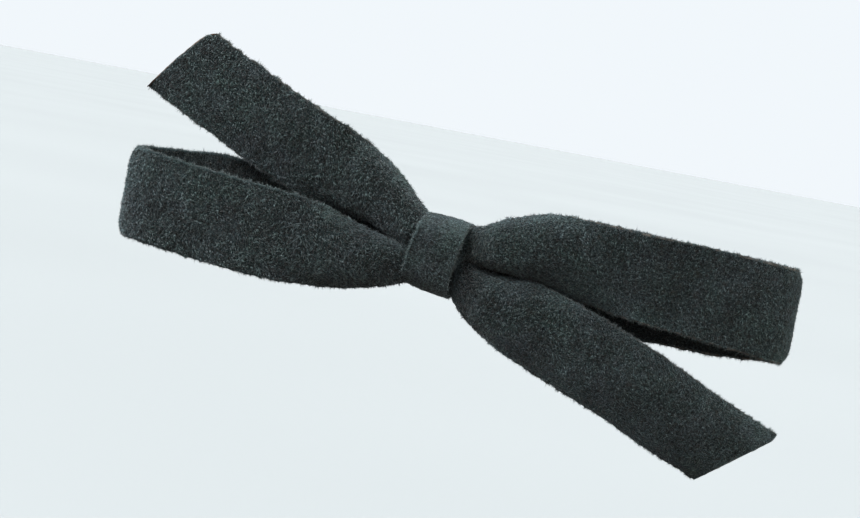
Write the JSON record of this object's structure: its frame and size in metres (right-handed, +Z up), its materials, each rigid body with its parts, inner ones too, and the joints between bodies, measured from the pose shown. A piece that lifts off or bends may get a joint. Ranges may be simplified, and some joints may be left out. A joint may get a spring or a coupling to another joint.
{
  "type": "alligator hair clip",
  "caption": "Metal alligator hair clip with sprung, toothed jaws, carrying a flat suede bow of loops, slanted tails and a wrapped centre band.",
  "frame": {"origin": "in the plane where the closed jaws meet, straight behind the middle of the bow's knot; the hair is gripped there", "axes": "+X along the clip and the loops, from the handles to the jaw tips; +Z up as the bow is worn; +Y from the bow's face towards the hair and head"},
  "size_m": [0.157, 0.0258, 0.0823],
  "materials": {
    "suede": "dark green-black faux suede with a short soft nap on both faces and raw cut edges",
    "thread": "dark green matt sewing thread",
    "glue": "cloudy off-white hot-melt glue",
    "plated_steel": "nickel-plated stamped steel, fine grain, satin, slightly worn on the edges",
    "spring_steel": "drawn spring wire, satin"
  },
  "bodies": {
    "bow_and_upper_arm": {"upper_jaw": "plated_steel", "hinge_pin": "plated_steel", "torsion_spring": "spring_steel", "glue_pad": "glue", "waist_thread": "thread", "centre_band": "suede", "tail_strip": "suede", "loop_strip": "suede"},
    "lower_arm": {"lower_jaw": "plated_steel"}
  },
  "joints": [
    {"name": "jaw_hinge", "type": "hinge", "parent": "bow_and_upper_arm", "child": "lower_arm", "pos_m": [-0.014, 0.0026, 0], "axis": [0, 0, 1], "range_deg": [0, 30], "stiffness_Nm_per_rad": 0.12, "springref_deg": -45.84, "deforming": ["torsion_spring"]}
  ]
}
